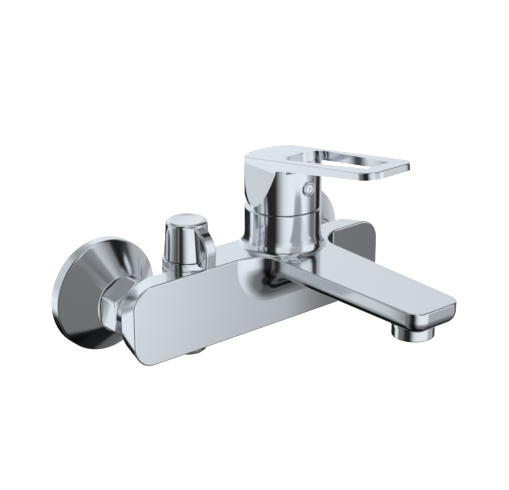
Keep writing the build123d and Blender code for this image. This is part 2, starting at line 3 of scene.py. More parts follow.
from __future__ import annotations

import json
import logging
import math
from dataclasses import dataclass
from enum import Enum
from typing import Callable, Sequence

import bmesh
import bpy
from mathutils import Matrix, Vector

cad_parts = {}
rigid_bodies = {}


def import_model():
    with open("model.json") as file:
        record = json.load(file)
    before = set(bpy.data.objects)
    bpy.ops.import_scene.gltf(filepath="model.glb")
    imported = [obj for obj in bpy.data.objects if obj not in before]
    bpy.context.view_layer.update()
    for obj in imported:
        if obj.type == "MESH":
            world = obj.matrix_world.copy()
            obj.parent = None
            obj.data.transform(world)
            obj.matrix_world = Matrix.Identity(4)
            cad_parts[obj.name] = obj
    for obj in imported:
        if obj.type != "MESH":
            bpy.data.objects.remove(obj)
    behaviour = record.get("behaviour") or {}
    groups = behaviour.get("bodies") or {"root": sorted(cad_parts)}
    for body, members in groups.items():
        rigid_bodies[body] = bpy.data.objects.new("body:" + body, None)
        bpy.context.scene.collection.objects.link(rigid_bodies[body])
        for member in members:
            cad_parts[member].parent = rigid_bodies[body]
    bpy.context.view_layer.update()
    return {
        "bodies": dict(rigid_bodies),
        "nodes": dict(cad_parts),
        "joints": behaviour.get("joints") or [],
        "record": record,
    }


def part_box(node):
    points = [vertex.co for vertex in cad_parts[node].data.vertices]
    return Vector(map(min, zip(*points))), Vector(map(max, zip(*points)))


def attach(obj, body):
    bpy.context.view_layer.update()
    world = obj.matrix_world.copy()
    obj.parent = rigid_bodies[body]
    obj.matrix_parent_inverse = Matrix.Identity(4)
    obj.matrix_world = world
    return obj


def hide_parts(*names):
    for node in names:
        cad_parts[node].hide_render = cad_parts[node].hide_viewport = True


LOG = logging.getLogger("faucet")
MM = 0.001

Point = tuple[float, float]
Place = tuple[float, float, float]
Colour = tuple[float, float, float]

COOL: Colour = (0.955, 0.98, 1.0)


class Axis(Enum):
    """The way a turned piece's own axis points."""

    UP = "up"
    WALL = "wall"


class NodeGraph:
    """A node tree with short helpers, for one material."""

    def __init__(self, name: str) -> None:
        """Starts a new material.

        Args:
            name: The material's name.
        """
        self.material = bpy.data.materials.new(name)
        self.material.use_nodes = True
        self.tree = self.material.node_tree
        self.shader = self.tree.nodes["Principled BSDF"]
        self.coords = self.tree.nodes.new("ShaderNodeTexCoord").outputs["Object"]

    def noise(self, scale: float, detail: float, stretch: Place = (1.0, 1.0, 1.0)):
        """Soft random variation over the piece.

        Args:
            scale: Features per metre.
            detail: Octaves of finer variation.
            stretch: How much denser it is along each axis.

        Returns:
            The socket that gives the variation, from 0 to 1.
        """
        mapping = self.tree.nodes.new("ShaderNodeMapping")
        mapping.inputs["Scale"].default_value = stretch
        self.tree.links.new(self.coords, mapping.inputs["Vector"])
        node = self.tree.nodes.new("ShaderNodeTexNoise")
        node.inputs["Scale"].default_value = scale
        node.inputs["Detail"].default_value = detail
        self.tree.links.new(mapping.outputs["Vector"], node.inputs["Vector"])
        return node.outputs["Fac"]

    def spread(self, value, low: float, high: float):
        """Maps the middle of a noise to a range.

        Args:
            value: The noise's socket.
            low: The result at the noise's low side.
            high: The result at its high side.

        Returns:
            The socket of the mapped value.
        """
        node = self.tree.nodes.new("ShaderNodeMapRange")
        node.inputs["From Min"].default_value = 0.3
        node.inputs["From Max"].default_value = 0.7
        node.inputs["To Min"].default_value = low
        node.inputs["To Max"].default_value = high
        self.tree.links.new(value, node.inputs["Value"])
        return node.outputs["Result"]

    def drift(self, value, first: Colour, second: Colour):
        """A colour that drifts between two.

        Args:
            value: The socket that says how far.
            first: The colour at 0.
            second: The colour at 1.

        Returns:
            The socket of the colour.
        """
        node = self.tree.nodes.new("ShaderNodeMix")
        node.data_type = "RGBA"
        node.inputs["A"].default_value = (*first, 1.0)
        node.inputs["B"].default_value = (*second, 1.0)
        self.tree.links.new(value, node.inputs["Factor"])
        return node.outputs["Result"]

    def bump(self, height, depth: float, under=None):
        """Relief too fine to model.

        Args:
            height: The socket of the relief.
            depth: Its full depth in metres.
            under: The normal of a coarser relief below it.

        Returns:
            The socket of the bent normal.
        """
        node = self.tree.nodes.new("ShaderNodeBump")
        node.inputs["Strength"].default_value = 1.0
        node.inputs["Distance"].default_value = depth
        self.tree.links.new(height, node.inputs["Height"])
        if under is not None:
            self.tree.links.new(under, node.inputs["Normal"])
        return node.outputs["Normal"]


@dataclass(frozen=True)
class Finish:
    """One surface finish.

    Attributes:
        slot: The record's material slot that it stands for.
        first: Its main colour.
        second: The colour that it drifts to.
        metallic: 1 for bare metal, 0 for the rest.
        gloss: Lowest and highest roughness.
        grain: Features per metre of the fine relief.
        grain_depth: Its depth in metres.
        stretch: How much denser the grain is along each axis.
        wave: Features per metre of the slow waviness that polishing leaves.
        wave_depth: Its depth in metres.
        specular: The shader's specular level.
        coat: Weight of a clear top layer.
    """

    slot: str
    first: Colour
    second: Colour
    metallic: float
    gloss: Point
    grain: float
    grain_depth: float
    stretch: Place = (1.0, 1.0, 1.0)
    wave: float = 30.0
    wave_depth: float = 0.0
    specular: float = 0.5
    coat: float = 0.0

    def material(self) -> bpy.types.Material:
        """Builds the material, or gives the one already built."""
        made = bpy.data.materials.get(self.slot)
        return made if made is not None else self._build()

    def _build(self) -> bpy.types.Material:
        """Builds the node tree of this finish."""
        graph = NodeGraph(self.slot)
        shader = graph.shader
        shader.inputs["Metallic"].default_value = self.metallic
        shader.inputs["Specular IOR Level"].default_value = self.specular
        shader.inputs["Coat Weight"].default_value = self.coat
        shader.inputs["Coat Roughness"].default_value = 0.08
        cloud = graph.noise(self.wave * 2.0, 3.0)
        grain = graph.noise(self.grain, 4.0, self.stretch)
        link = graph.tree.links.new
        link(graph.drift(graph.spread(cloud, 0.0, 1.0), self.first, self.second), shader.inputs["Base Color"])
        link(graph.spread(grain, *self.gloss), shader.inputs["Roughness"])
        relief = None
        if self.wave_depth > 0.0:
            relief = graph.bump(graph.noise(self.wave, 1.0), self.wave_depth)
        relief = graph.bump(grain, self.grain_depth, relief)
        link(relief, shader.inputs["Normal"])
        return graph.material


CHROME = Finish(
    slot="polished_chrome",
    first=(0.70, 0.735, 0.775),
    second=(0.75, 0.78, 0.815),
    metallic=1.0,
    gloss=(0.025, 0.055),
    grain=2600.0,
    grain_depth=0.0000004,
    wave=26.0,
    wave_depth=0.00006,
)
BRASS = Finish(
    slot="cast_brass",
    first=(0.80, 0.62, 0.30),
    second=(0.70, 0.52, 0.24),
    metallic=1.0,
    gloss=(0.24, 0.42),
    grain=2400.0,
    grain_depth=0.00002,
)
STEEL = Finish(
    slot="plain_steel",
    first=(0.60, 0.60, 0.61),
    second=(0.50, 0.50, 0.52),
    metallic=1.0,
    gloss=(0.22, 0.36),
    grain=3200.0,
    grain_depth=0.00001,
    stretch=(1.0, 1.0, 6.0),
)
CERAMIC = Finish(
    slot="white_ceramic",
    first=(0.90, 0.89, 0.86),
    second=(0.84, 0.82, 0.78),
    metallic=0.0,
    gloss=(0.10, 0.20),
    grain=4000.0,
    grain_depth=0.000004,
    coat=0.3,
)
MOULDED = Finish(
    slot="cartridge_plastic",
    first=(0.80, 0.80, 0.77),
    second=(0.74, 0.74, 0.71),
    metallic=0.0,
    gloss=(0.38, 0.55),
    grain=5200.0,
    grain_depth=0.000012,
)
GREY_PLASTIC = Finish(
    slot="insert_plastic",
    first=(0.66, 0.67, 0.69),
    second=(0.58, 0.59, 0.61),
    metallic=0.0,
    gloss=(0.30, 0.48),
    grain=5200.0,
    grain_depth=0.000012,
)
RUBBER = Finish(
    slot="black_rubber",
    first=(0.025, 0.025, 0.026),
    second=(0.045, 0.045, 0.047),
    metallic=0.0,
    gloss=(0.55, 0.75),
    grain=6000.0,
    grain_depth=0.00002,
    specular=0.35,
)
BUTTON = Finish(
    slot="button_plastic",
    first=(0.40, 0.42, 0.45),
    second=(0.34, 0.36, 0.39),
    metallic=0.0,
    gloss=(0.10, 0.20),
    grain=4200.0,
    grain_depth=0.000006,
    coat=0.6,
)
FINISHES = {
    finish.slot: finish
    for finish in (CHROME, BRASS, STEEL, CERAMIC, MOULDED, GREY_PLASTIC, RUBBER, BUTTON)
}


@dataclass(frozen=True)
class Card:
    """A soft edged card that shows only in reflections.

    Attributes:
        name: The card's name.
        middle: Where it stands, in metres.
        size: Its width and height in metres.
        facing: The way that it faces.
        level: How bright it is.
        soft: How far its edge fades, as a share of its half width.
    """

    name: str
    middle: Place
    size: Point
    facing: Place
    level: float
    soft: float

    def build(self) -> None:
        """Puts the card in the studio."""
        bpy.ops.mesh.primitive_plane_add(size=1.0, location=self.middle)
        board = bpy.context.object
        board.name = self.name
        board.data.name = self.name
        board.scale = (*self.size, 1.0)
        board.rotation_euler = Vector(self.facing).to_track_quat("Z", "Y").to_euler()
        board.visible_camera = False
        board.visible_diffuse = False
        board.visible_shadow = False
        board.visible_transmission = False
        material = bpy.data.materials.new(self.name)
        material.use_nodes = True
        tree = material.node_tree
        tree.nodes.clear()
        nodes, link = tree.nodes, tree.links.new
        half = 0.5
        split = nodes.new("ShaderNodeSeparateXYZ")
        link(nodes.new("ShaderNodeTexCoord").outputs["Object"], split.inputs[0])

        def fade(axis: str):
            """How much of the card shows along one of its own axes."""
            away = nodes.new("ShaderNodeMath")
            away.operation = "ABSOLUTE"
            link(split.outputs[axis], away.inputs[0])
            edge = nodes.new("ShaderNodeMapRange")
            edge.interpolation_type = "SMOOTHSTEP"
            edge.inputs["From Min"].default_value = half
            edge.inputs["From Max"].default_value = half - half * self.soft
            link(away.outputs[0], edge.inputs["Value"])
            return edge.outputs["Result"]

        both = nodes.new("ShaderNodeMath")
        both.operation = "MULTIPLY"
        link(fade("X"), both.inputs[0])
        link(fade("Y"), both.inputs[1])
        paint = nodes.new("ShaderNodeEmission")
        paint.inputs["Color"].default_value = (*COOL, 1.0)
        paint.inputs["Strength"].default_value = self.level
        clear = nodes.new("ShaderNodeBsdfTransparent")
        mix = nodes.new("ShaderNodeMixShader")
        link(both.outputs[0], mix.inputs["Fac"])
        link(clear.outputs[0], mix.inputs[1])
        link(paint.outputs[0], mix.inputs[2])
        leave = nodes.new("ShaderNodeOutputMaterial")
        link(mix.outputs[0], leave.inputs["Surface"])
        board.data.materials.append(material)


@dataclass(frozen=True)
class Studio:
    """Pale floor, soft surroundings and the camera.

    Attributes:
        target: The point that the camera looks at, in metres.
        distance: Its distance from there, in metres.
        azimuth: Its turn about the object, in degrees.
        elevation: Its height above the horizon, in degrees.
        lens: Focal length in millimetres.
        shift: How far the view is shifted, in frame widths.
        floor_height: Height of the floor, in metres.
        floor_half: Half the floor's width, in metres.
        height_levels: Brightness of the surroundings by height, in degrees above the horizon.
        low_levels: Brightness below the horizon by direction, in degrees to the right of the room's middle.
        high_levels: The same above the horizon.
        low_end: Height in degrees up to which only the low levels count.
        high_start: Height in degrees from which only the high levels count.
        lamps: Name, place in metres, width in metres and watts of each lamp.
        cards: The cards that only reflections see.
    """

    target: Place = (0.0, -0.060, 0.020)
    distance: float = 0.900
    azimuth: float = -40.04
    elevation: float = 21.91
    lens: float = 107.24
    shift: Point = (-0.0125, 0.0268)
    floor_height: float = -0.26
    floor_half: float = 6.0
    height_levels: tuple[Point, ...] = (
        (-90, 0.02),
        (-70, 0.02),
        (-64, 0.16),
        (-46, 0.2),
        (-35, 0.45),
        (-25, 0.95),
        (0, 1.05),
        (32, 1.0),
        (39, 0.36),
        (50, 0.32),
        (62, 0.9),
        (90, 1.1),
    )
    low_levels: tuple[Point, ...] = (
        (-180, 0.02),
        (-158, 0.03),
        (-150, 1.0),
        (-138, 0.95),
        (-126, 0.55),
        (-110, 0.24),
        (-94, 0.1),
        (-86, 0.02),
        (-62, 0.02),
        (-57, 0.16),
        (-50, 0.42),
        (-38, 0.84),
        (-22, 1.0),
        (26, 1.0),
        (34, 0.92),
        (40, 0.58),
        (46, 0.48),
        (60, 0.46),
        (70, 0.7),
        (75, 0.02),
        (98, 0.02),
        (104, 0.66),
        (140, 0.72),
        (150, 0.3),
        (157, 0.02),
    )
    high_levels: tuple[Point, ...] = (
        (-180, 0.8),
        (-120, 0.55),
        (-100, 0.42),
        (-94, 0.02),
        (-62, 0.02),
        (-56, 0.8),
        (-24, 0.85),
        (-16, 0.42),
        (12, 0.42),
        (22, 0.95),
        (58, 0.8),
        (62, 0.02),
        (82, 0.02),
        (88, 0.45),
        (110, 0.55),
        (150, 0.92),
    )

    low_end: float = -14.0
    high_start: float = 2.0
    lamps: tuple[tuple[str, Place, float, float], ...] = (
        ("lamp_left", (-1.6, -1.4, 2.0), 2.2, 60.0),
        ("lamp_right", (1.8, -1.0, 2.2), 2.2, 55.0),
    )
    cards: tuple[Card, ...] = (
        Card("card_left", (-0.245, -0.068, -0.08), (0.27, 0.38), (0, 1, 0), 0.19, 0.15),
        Card("card_behind", (0.045, 0.011, -0.004), (0.06, 0.021), (-1, 0, 0), 0.40, 0.02),
        Card("card_right", (0.31, -0.23, -0.12), (0.30, 0.24), (0, 1, 0), 0.19, 0.3),
    )

    def camera(self) -> bpy.types.Object:
        """Makes the camera and gives it to the scene."""
        turn, rise = math.radians(self.azimuth), math.radians(self.elevation)
        away = Vector((math.sin(turn) * math.cos(rise), -math.cos(turn) * math.cos(rise), math.sin(rise)))
        data = bpy.data.cameras.new("camera")
        data.lens = self.lens
        data.sensor_width = 36.0
        data.sensor_fit = "HORIZONTAL"
        data.shift_x, data.shift_y = self.shift
        data.clip_start = 0.01
        camera = bpy.data.objects.new("camera", data)
        camera.location = Vector(self.target) + away * self.distance
        camera.rotation_euler = (-away).to_track_quat("-Z", "Y").to_euler()
        bpy.context.scene.collection.objects.link(camera)
        bpy.context.scene.camera = camera
        return camera

    def floor(self) -> bpy.types.Object:
        """Makes the pale floor, which isn't part of the object."""
        half = self.floor_half
        mesh = bpy.data.meshes.new("studio_floor")
        corners = [(-half, -half), (half, -half), (half, half), (-half, half)]
        mesh.from_pydata([(x, y, self.floor_height) for x, y in corners], [], [(0, 1, 2, 3)])
        floor = bpy.data.objects.new("studio_floor", mesh)
        bpy.context.scene.collection.objects.link(floor)
        graph = NodeGraph("studio_paper")
        paper = graph.spread(graph.noise(3.0, 2.0), 0.88, 0.92)
        graph.tree.links.new(paper, graph.shader.inputs["Roughness"])
        graph.shader.inputs["Base Color"].default_value = (0.93, 0.93, 0.93, 1.0)
        graph.shader.inputs["Emission Color"].default_value = (1.0, 1.0, 1.0, 1.0)
        graph.shader.inputs["Emission Strength"].default_value = 0.35
        mesh.materials.append(graph.material)
        floor.visible_glossy = False
        return floor

    def surroundings(self) -> None:
        """Soft studio walls with dark gaps between them, a dark floor line and a bright ceiling panel."""
        world = bpy.data.worlds.new("studio")
        bpy.context.scene.world = world
        world.use_nodes = True
        nodes, link = world.node_tree.nodes, world.node_tree.links.new
        way = nodes.new("ShaderNodeSeparateXYZ")
        link(nodes.new("ShaderNodeTexCoord").outputs["Generated"], way.inputs["Vector"])

        def math_node(operation: str, first, second=None):
            """One Math node fed by sockets or numbers."""
            node = nodes.new("ShaderNodeMath")
            node.operation = operation
            for index, value in enumerate((first, second)):
                if isinstance(value, (int, float)):
                    node.inputs[index].default_value = value
                elif value is not None:
                    link(value, node.inputs[index])
            return node.outputs["Value"]

        def ramp(value, low: float, high: float, stops: Sequence[Point]):
            """A ramp of greys over an angle in degrees."""
            span = nodes.new("ShaderNodeMapRange")
            span.inputs["From Min"].default_value = math.radians(low)
            span.inputs["From Max"].default_value = math.radians(high)
            link(value, span.inputs["Value"])
            node = nodes.new("ShaderNodeValToRGB")
            link(span.outputs["Result"], node.inputs["Fac"])
            elements = node.color_ramp.elements
            while len(elements) > 1:
                elements.remove(elements[-1])
            for index, (angle, level) in enumerate(stops):
                place = (angle - low) / (high - low)
                element = elements[0] if index == 0 else elements.new(place)
                element.position = place
                element.color = (*grey(level), 1.0)
            return node.outputs["Color"]

        def grey(level: float) -> Colour:
            """A grey that leans a little to blue."""
            return tuple(level * share for share in COOL)

        rise = math_node("ARCSINE", way.outputs["Z"])
        turn = math_node("ARCTAN2", way.outputs["X"], math_node("MULTIPLY", way.outputs["Y"], -1.0))
        heights = ramp(rise, -90.0, 90.0, self.height_levels)
        low = ramp(turn, -180.0, 180.0, self.low_levels)
        high = ramp(turn, -180.0, 180.0, self.high_levels)
        lift = nodes.new("ShaderNodeMapRange")
        lift.inputs["From Min"].default_value = math.radians(self.low_end)
        lift.inputs["From Max"].default_value = math.radians(self.high_start)
        link(rise, lift.inputs["Value"])
        sides = nodes.new("ShaderNodeMix")
        sides.data_type = "RGBA"
        link(lift.outputs["Result"], sides.inputs["Factor"])
        link(low, sides.inputs["A"])
        link(high, sides.inputs["B"])
        mix = nodes.new("ShaderNodeMix")
        mix.data_type = "RGBA"
        mix.blend_type = "MULTIPLY"
        mix.inputs["Factor"].default_value = 1.0
        link(heights, mix.inputs["A"])
        link(sides.outputs["Result"], mix.inputs["B"])
        link(mix.outputs["Result"], nodes["Background"].inputs["Color"])
        nodes["Background"].inputs["Strength"].default_value = 1.0

    def light(self) -> None:
        """Large soft lamps that light the floor and the matt pieces evenly."""
        for name, place, size, power in self.lamps:
            data = bpy.data.lights.new(name, "AREA")
            data.size = size
            data.energy = power
            lamp = bpy.data.objects.new(name, data)
            lamp.location = place
            lamp.rotation_euler = Vector(place).to_track_quat("Z", "Y").to_euler()
            lamp.visible_glossy = False
            bpy.context.scene.collection.objects.link(lamp)

    def build(self) -> None:
        """Sets up the whole studio."""
        self.camera()
        self.floor()
        self.surroundings()
        self.light()
        for card in self.cards:
            card.build()
        bpy.context.scene.view_settings.view_transform = "Standard"


class GeometryTree:
    """A Geometry Nodes tree with named inputs that ends in Realize Instances and Set Material."""

    def __init__(self, name: str) -> None:
        """Starts a tree with one geometry in and one out.

        Args:
            name: The tree's name.
        """
        self.group = bpy.data.node_groups.new(name, "GeometryNodeTree")
        self.group.interface.new_socket("Geometry", in_out="INPUT", socket_type="NodeSocketGeometry")
        self.group.interface.new_socket("Geometry", in_out="OUTPUT", socket_type="NodeSocketGeometry")
        self.group.interface.new_socket("Material", in_out="INPUT", socket_type="NodeSocketMaterial")
        self.entry = self.group.nodes.new("NodeGroupInput")

    def number(self, name: str, whole: bool = False):
        """Adds a named input for a size or a count and gives its socket."""
        kind = "NodeSocketInt" if whole else "NodeSocketFloat"
        self.group.interface.new_socket(name, in_out="INPUT", socket_type=kind)
        return self.entry.outputs[name]

    def vector(self, name: str):
        """Adds a named input for a place or a turn and gives its socket."""
        self.group.interface.new_socket(name, in_out="INPUT", socket_type="NodeSocketVector")
        return self.entry.outputs[name]

    def node(self, kind: str, **feeds):
        """Adds a node.

        Args:
            kind: The node's type name.
            feeds: A socket or a plain value for each input, by its name with _ for a space.

        Returns:
            The node.
        """
        node = self.group.nodes.new(kind)
        for name, value in feeds.items():
            socket = node.inputs[name.replace("_", " ")]
            if isinstance(value, bpy.types.NodeSocket):
                self.group.links.new(value, socket)
            else:
                socket.default_value = value
        return node

    def close(self, geometry) -> bpy.types.NodeTree:
        """Ends the tree.

        Args:
            geometry: The socket of the finished geometry.

        Returns:
            The finished tree.
        """
        real = self.node("GeometryNodeRealizeInstances", Geometry=geometry)
        dressed = self.node(
            "GeometryNodeSetMaterial", Geometry=real.outputs[0], Material=self.entry.outputs["Material"]
        )
        leave = self.group.nodes.new("NodeGroupOutput")
        self.group.links.new(dressed.outputs[0], leave.inputs["Geometry"])
        return self.group


def thread_tree() -> bpy.types.NodeTree:
    """The tree that winds a screw thread round a stub.

    Returns:
        The tree, made once.
    """
    made = bpy.data.node_groups.get("pipe_thread")
    if made is not None:
        return made
    tree = GeometryTree("pipe_thread")
    root = tree.number("Root Radius")
    depth = tree.number("Thread Depth")
    turns = tree.number("Turns")
    length = tree.number("Length")
    start = tree.vector("Start")
    turn = tree.vector("Turn")
    helix = tree.node(
        "GeometryNodeCurveSpiral",
        Resolution=56,
        Rotations=turns,
        Start_Radius=root,
        End_Radius=root,
        Height=length,
    )
    upright = tree.group.nodes.new("GeometryNodeSetCurveNormal")
    upright.mode = "Z_UP"
    tree.group.links.new(helix.outputs[0], upright.inputs["Curve"])
    ridge = tree.node("GeometryNodeCurvePrimitiveCircle", Resolution=4, Radius=depth)
    wound = tree.node(
        "GeometryNodeCurveToMesh", Curve=upright.outputs[0], Profile_Curve=ridge.outputs["Curve"]
    )
    wound.inputs["Fill Caps"].default_value = True
    flat = tree.node("GeometryNodeSetShadeSmooth", Geometry=wound.outputs[0], Shade_Smooth=False)
    placed = tree.node("GeometryNodeTransform", Geometry=flat.outputs[0], Translation=start, Rotation=turn)
    both = tree.group.nodes.new("GeometryNodeJoinGeometry")
    tree.group.links.new(placed.outputs[0], both.inputs[0])
    tree.group.links.new(tree.entry.outputs["Geometry"], both.inputs[0])
    return tree.close(both.outputs[0])


def hole_tree() -> bpy.types.NodeTree:
    """The tree that drills a ring of equal holes through a piece.

    Returns:
        The tree, made once.
    """
    made = bpy.data.node_groups.get("ring_of_holes")
    if made is not None:
        return made
    tree = GeometryTree("ring_of_holes")
    count = tree.number("Count", whole=True)
    ring = tree.number("Ring Radius")
    bore = tree.number("Hole Radius")
    sides = tree.number("Sides", whole=True)
    depth = tree.number("Depth")
    middle = tree.vector("Middle")
    spots = tree.node("GeometryNodeMeshCircle", Vertices=count, Radius=ring)
    drill = tree.node("GeometryNodeMeshCylinder", Vertices=sides, Radius=bore, Depth=depth)
    drills = tree.node(
        "GeometryNodeInstanceOnPoints", Points=spots.outputs[0], Instance=drill.outputs["Mesh"]
    )
    placed = tree.node("GeometryNodeTransform", Geometry=drills.outputs[0], Translation=middle)
    real = tree.node("GeometryNodeRealizeInstances", Geometry=placed.outputs[0])
    cut = tree.group.nodes.new("GeometryNodeMeshBoolean")
    cut.operation = "DIFFERENCE"
    tree.group.links.new(tree.entry.outputs["Geometry"], cut.inputs[0])
    tree.group.links.new(real.outputs[0], cut.inputs[1])
    return tree.close(cut.outputs["Mesh"])


class Workshop:
    """Makes meshes, dresses them and fits them to the frame."""

    sharp_angle = math.radians(32.0)

    def __init__(self, frame: dict) -> None:
        """Keeps the frame.
        """
        self.frame = frame
        self.slots = {part["node"]: part["material_slot"] for part in frame["record"]["subparts"]}
        groups = frame["record"]["behaviour"]["bodies"]
        self.bodies = {node: body for body, nodes in groups.items() for node in nodes}

    def dress_node(self, node: str) -> None:
        """Gives a frame node the finish of its slot.

        Args:
            node: The node's name.
        """
        mesh = self.frame["nodes"][node].data
        material = FINISHES[self.slots[node]].material()
        if mesh.materials:
            for index in range(len(mesh.materials)):
                mesh.materials[index] = material
        else:
            mesh.materials.append(material)
        LOG.info("frame node %s dressed as %s", node, material.name)

    def rounded(self, outline: Sequence[Point], radius: float, steps: int = 3) -> list[Point]:
        """Rounds the corners of a closed outline.

        Args:
            outline: Its corners.
            radius: How far from a corner the rounding starts.
            steps: Straight pieces in each rounding.

        Returns:
            The finer outline.
        """
        finer: list[Point] = []
        for index, here in enumerate(outline):
            corner = Vector(here)
            if corner.x < 1e-6:
                finer.append(here)
                continue
            back = Vector(outline[index - 1]) - corner
            ahead = Vector(outline[(index + 1) % len(outline)]) - corner
            cut = min(radius, 0.42 * back.length, 0.42 * ahead.length)
            first, last = corner + back.normalized() * cut, corner + ahead.normalized() * cut
            for step in range(steps + 1):
                way = step / steps
                spot = first * (1 - way) ** 2 + corner * 2 * way * (1 - way) + last * way**2
                finer.append((spot.x, spot.y))
        return finer

    def rings_to_object(self, name: str, rings: Sequence[Sequence[Place]]) -> bpy.types.Object:
        """Joins a closed loop of rings into a solid skin.

        Args:
            name: The object's name.
            rings: Rings of places in metres, each of one length or a single pole.

        Returns:
            The object, linked to the scene.
        """
        build = bmesh.new()
        loops = [[build.verts.new(spot) for spot in ring] for ring in rings]
        for ring, following in zip(loops, loops[1:] + loops[:1]):
            if len(ring) == 1 and len(following) == 1:
                continue
            count = max(len(ring), len(following))
            for index in range(count):
                ahead = (index + 1) % count
                corners = [ring[index % len(ring)], ring[ahead % len(ring)]]
                corners += [following[ahead % len(following)], following[index % len(following)]]
                build.faces.new(dict.fromkeys(corners))
        bmesh.ops.recalc_face_normals(build, faces=build.faces)
        mesh = bpy.data.meshes.new(name)
        build.to_mesh(mesh)
        build.free()
        piece = bpy.data.objects.new(name, mesh)
        bpy.context.scene.collection.objects.link(piece)
        return piece

    def turned(
        self,
        name: str,
        outline: Sequence[Point],
        place: Place,
        axis: Axis,
        corner: float = 0.3,
        steps: int = 112,
        radius: Callable[[float, float, float], float] | None = None,
    ) -> bpy.types.Object:
        """A solid of revolution.

        Args:
            name: The piece's name.
            outline: Radius and height of each corner in mm, round one half of its section.
            place: Where its axis passes, in mm.
            axis: The way its axis points. Heights are in the frame's own z or y.
            corner: How far from each corner the rounding starts, in mm.
            steps: Sides round the axis.
            radius: Changes a radius, from the radius, height and angle.

        Returns:
            The piece.
        """
        rings = []
        for reach, height in self.rounded(outline, corner):
            ring = []
            for step in range(1 if reach < 1e-6 else steps):
                angle = 2 * math.pi * step / steps
                size = radius(reach, height, angle) if radius else reach
                across, up = size * math.cos(angle), size * math.sin(angle)
                if axis is Axis.UP:
                    spot = (place[0] + across, place[1] + up, height)
                else:
                    spot = (place[0] + across, height, place[2] + up)
                ring.append(tuple(value * MM for value in spot))
            rings.append(ring)
        return self.rings_to_object(name, rings)

    def smooth(self, piece: bpy.types.Object) -> None:
        """Smooths the shading except over sharp edges, with flat faces kept flat.

        Args:
            piece: The piece, whose modifiers are used up.
        """
        mesh = piece.data
        mesh.shade_smooth()
        build = bmesh.new()
        build.from_mesh(mesh)
        for edge in build.edges:
            edge.smooth = edge.calc_face_angle(0.0) < self.sharp_angle
        build.to_mesh(mesh)
        build.free()
        weighted = piece.modifiers.new("flat_faces_stay_flat", "WEIGHTED_NORMAL")
        weighted.keep_sharp = True
        weighted.weight = 80
        self.settle(piece)

    def settle(self, piece: bpy.types.Object) -> None:
        """Turns a piece with modifiers into a plain mesh.

        Args:
            piece: The piece.
        """
        view = bpy.context.evaluated_depsgraph_get()
        done = bpy.data.meshes.new_from_object(piece.evaluated_get(view))
        old = piece.data
        piece.modifiers.clear()
        piece.data = done
        bpy.data.meshes.remove(old)
        done.name = piece.name

    def grow(self, piece: bpy.types.Object, tree: bpy.types.NodeTree, **sizes) -> None:
        """Runs a Geometry Nodes tree on a piece and keeps the result.

        Args:
            piece: The piece.
            tree: The tree.
            sizes: Its inputs by name, with _ for a space.
        """
        modifier = piece.modifiers.new(tree.name, "NODES")
        modifier.node_group = tree
        for item in tree.interface.items_tree:
            key = item.name.replace(" ", "_")
            if item.item_type == "SOCKET" and item.in_out == "INPUT" and key in sizes:
                modifier[item.identifier] = sizes[key]
        self.settle(piece)

    def fit(self, piece: bpy.types.Object, finish: Finish, *nodes: str) -> None:
        """Dresses a piece and lets it stand for its frame nodes.

        Args:
            piece: The piece.
            finish: Its finish.
            nodes: The nodes that it stands for, all on one body.
        """
        piece.data.materials.clear()
        piece.data.materials.append(finish.material())
        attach(piece, self.bodies[nodes[0]])
        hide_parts(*nodes)
        LOG.info("piece %s stands for %s", piece.name, ", ".join(nodes))


